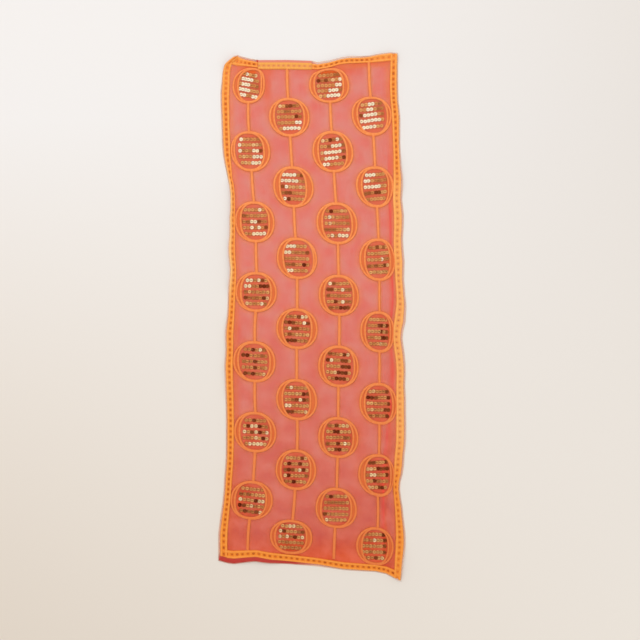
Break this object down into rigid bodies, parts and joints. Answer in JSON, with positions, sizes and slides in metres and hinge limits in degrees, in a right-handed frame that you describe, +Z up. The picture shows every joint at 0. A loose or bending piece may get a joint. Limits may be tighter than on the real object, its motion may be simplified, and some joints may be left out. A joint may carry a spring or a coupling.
{
  "type": "chunri",
  "caption": "Small rectangular chunri of sheer coral net laid flat, with embroidered chains of sequinned rings and an orange eyelet border",
  "frame": {"origin": "on the table under the middle of the laid-out cloth", "axes": "+X across the cloth, +Y along it towards the end with the turned-over border, +Z up from the table"},
  "size_m": [0.1627, 0.4593, 0.0059],
  "materials": {
    "net": "sheer coral organza net with a soft sheen",
    "thread": "orange satin stitched embroidery thread",
    "border": "orange eyelet border in satin stitch",
    "border_back": "paler back of the orange border where it is turned over onto the face",
    "sequin": "cupped bronze sequins"
  },
  "bodies": {
    "root": {"net_panel": "net", "border_left": "border", "border_right": "border", "border_bottom": "border", "border_top_left": "border", "border_top_right": "border", "border_top_turned": "border_back", "chain_1": "thread", "chain_2": "thread", "chain_3": "thread", "chain_4": "thread"}
  },
  "joints": []
}
